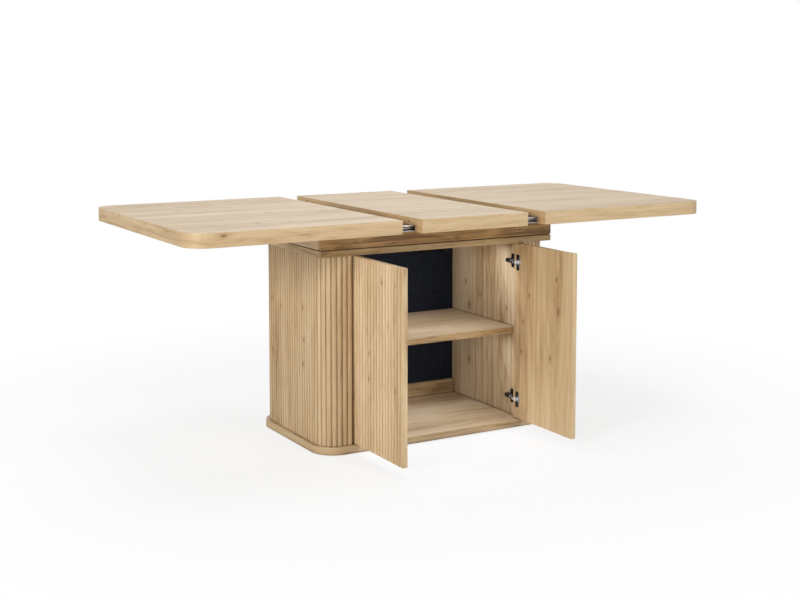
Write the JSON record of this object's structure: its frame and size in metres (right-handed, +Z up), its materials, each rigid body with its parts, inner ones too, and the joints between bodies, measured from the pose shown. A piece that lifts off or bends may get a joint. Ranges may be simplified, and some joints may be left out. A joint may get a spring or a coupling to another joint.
{
  "type": "extending dining table with storage cabinet",
  "caption": "Extending dining table: half tops that slide apart around a lift-out insert, on a ribbed cabinet pedestal with hinged doors and an inner shelf.",
  "frame": {"origin": "on the floor, under the middle of the cabinet, on the central glide", "axes": "+X along the table to the right half top, -Y to the side with the doors, +Z up"},
  "size_m": [1.93, 0.9975, 0.774],
  "materials": {
    "oak_top": "satin oak veneer, grain along the table",
    "oak_strips": "satin oak, grain along the strip",
    "oak_cabinet": "satin oak veneer, grain upright",
    "oak_frame": "satin oak veneer, grain along the rail",
    "dark_board": "matt black-brown board",
    "dark_liner": "thin board faced in a dark linen texture",
    "plain_wood": "plain sawn softwood",
    "beech_dowel": "turned beech",
    "runner_steel": "zinc-plated sheet steel",
    "screw_steel": "zinc-plated steel",
    "nickel": "bright nickel plate",
    "black_metal": "satin black",
    "grey_plastic": "moulded nylon",
    "black_plastic": "hard moulded plastic"
  },
  "bodies": {
    "base": {"plinth_board": "oak_cabinet", "plinth_glides": "black_plastic", "left_side_wall": "oak_cabinet", "right_side_wall": "oak_cabinet", "shelf": "oak_cabinet", "shelf_pins": "screw_steel", "back_liner": "dark_liner", "lower_back_rail": "oak_cabinet", "upper_back_rail": "oak_cabinet", "left_ribbed_shell": "oak_cabinet", "right_ribbed_shell": "oak_cabinet", "ribbed_back_panel": "oak_cabinet", "shell_battens": "plain_wood", "cabinet_top_board": "oak_cabinet", "spacer_board": "dark_board", "front_apron_rail": "oak_frame", "back_apron_rail": "oak_frame", "left_apron_rail": "oak_frame", "right_apron_rail": "oak_frame", "corner_blocks": "plain_wood", "frame_bolts": "screw_steel", "outer_bearers": "plain_wood", "inner_bearers": "plain_wood", "front_fixed_rail": "runner_steel", "back_fixed_rail": "runner_steel", "frame_screws": "screw_steel", "hinge_plates": "black_metal", "hinge_arms": "nickel", "hinge_plate_screws": "screw_steel", "push_latches": "grey_plastic"},
    "left_top": {"left_top_panel": "oak_top", "left_top_front_strip": "oak_strips", "left_top_back_strip": "oak_strips", "left_top_end_strip": "oak_strips", "left_top_edge_band": "oak_top", "left_top_slides": "runner_steel", "left_top_slide_guides": "grey_plastic", "left_top_slide_screws": "screw_steel", "left_top_dowels": "beech_dowel"},
    "right_top": {"right_top_panel": "oak_top", "right_top_front_strip": "oak_strips", "right_top_back_strip": "oak_strips", "right_top_end_strip": "oak_strips", "right_top_edge_band": "oak_top", "right_top_slides": "runner_steel", "right_top_slide_guides": "grey_plastic", "right_top_slide_screws": "screw_steel"},
    "insert_leaf": {"insert_panel": "oak_top", "insert_front_strip": "oak_strips", "insert_back_strip": "oak_strips", "insert_edge_bands": "oak_top", "insert_dowels": "beech_dowel"},
    "left_door": {"left_door_panel": "oak_cabinet", "left_door_hinge_cups": "black_metal", "left_door_screws": "screw_steel"},
    "right_door": {"right_door_panel": "oak_cabinet", "right_door_hinge_cups": "black_metal", "right_door_screws": "screw_steel"},
    "left_plunger": {"left_latch_plunger": "grey_plastic"},
    "right_plunger": {"right_latch_plunger": "grey_plastic"}
  },
  "joints": [
    {"name": "left_top_slide", "type": "slide", "parent": "base", "child": "left_top", "axis": [-1, 0, 0], "range_m": [-0.0697, 0.03]},
    {"name": "right_top_slide", "type": "slide", "parent": "base", "child": "right_top", "axis": [1, 0, 0], "range_m": [-0.0697, 0.03]},
    {"name": "insert_lift", "type": "slide", "parent": "base", "child": "insert_leaf", "axis": [0, 0, 1], "range_m": [0, 0.25]},
    {"name": "left_door_hinge", "type": "hinge", "parent": "base", "child": "left_door", "pos_m": [-0.31925, -0.2295, 0.332], "axis": [0, 0, -1], "range_deg": [-90, 15]},
    {"name": "right_door_hinge", "type": "hinge", "parent": "base", "child": "right_door", "pos_m": [0.31925, -0.2295, 0.332], "axis": [0, 0, 1], "range_deg": [-90, 15]},
    {"name": "left_latch_push", "type": "slide", "parent": "base", "child": "left_plunger", "axis": [0, 1, 0], "range_m": [0, 0.004], "stiffness_N_per_m": 150, "springref_m": -0.01},
    {"name": "right_latch_push", "type": "slide", "parent": "base", "child": "right_plunger", "axis": [0, 1, 0], "range_m": [0, 0.004], "stiffness_N_per_m": 150, "springref_m": -0.01}
  ]
}
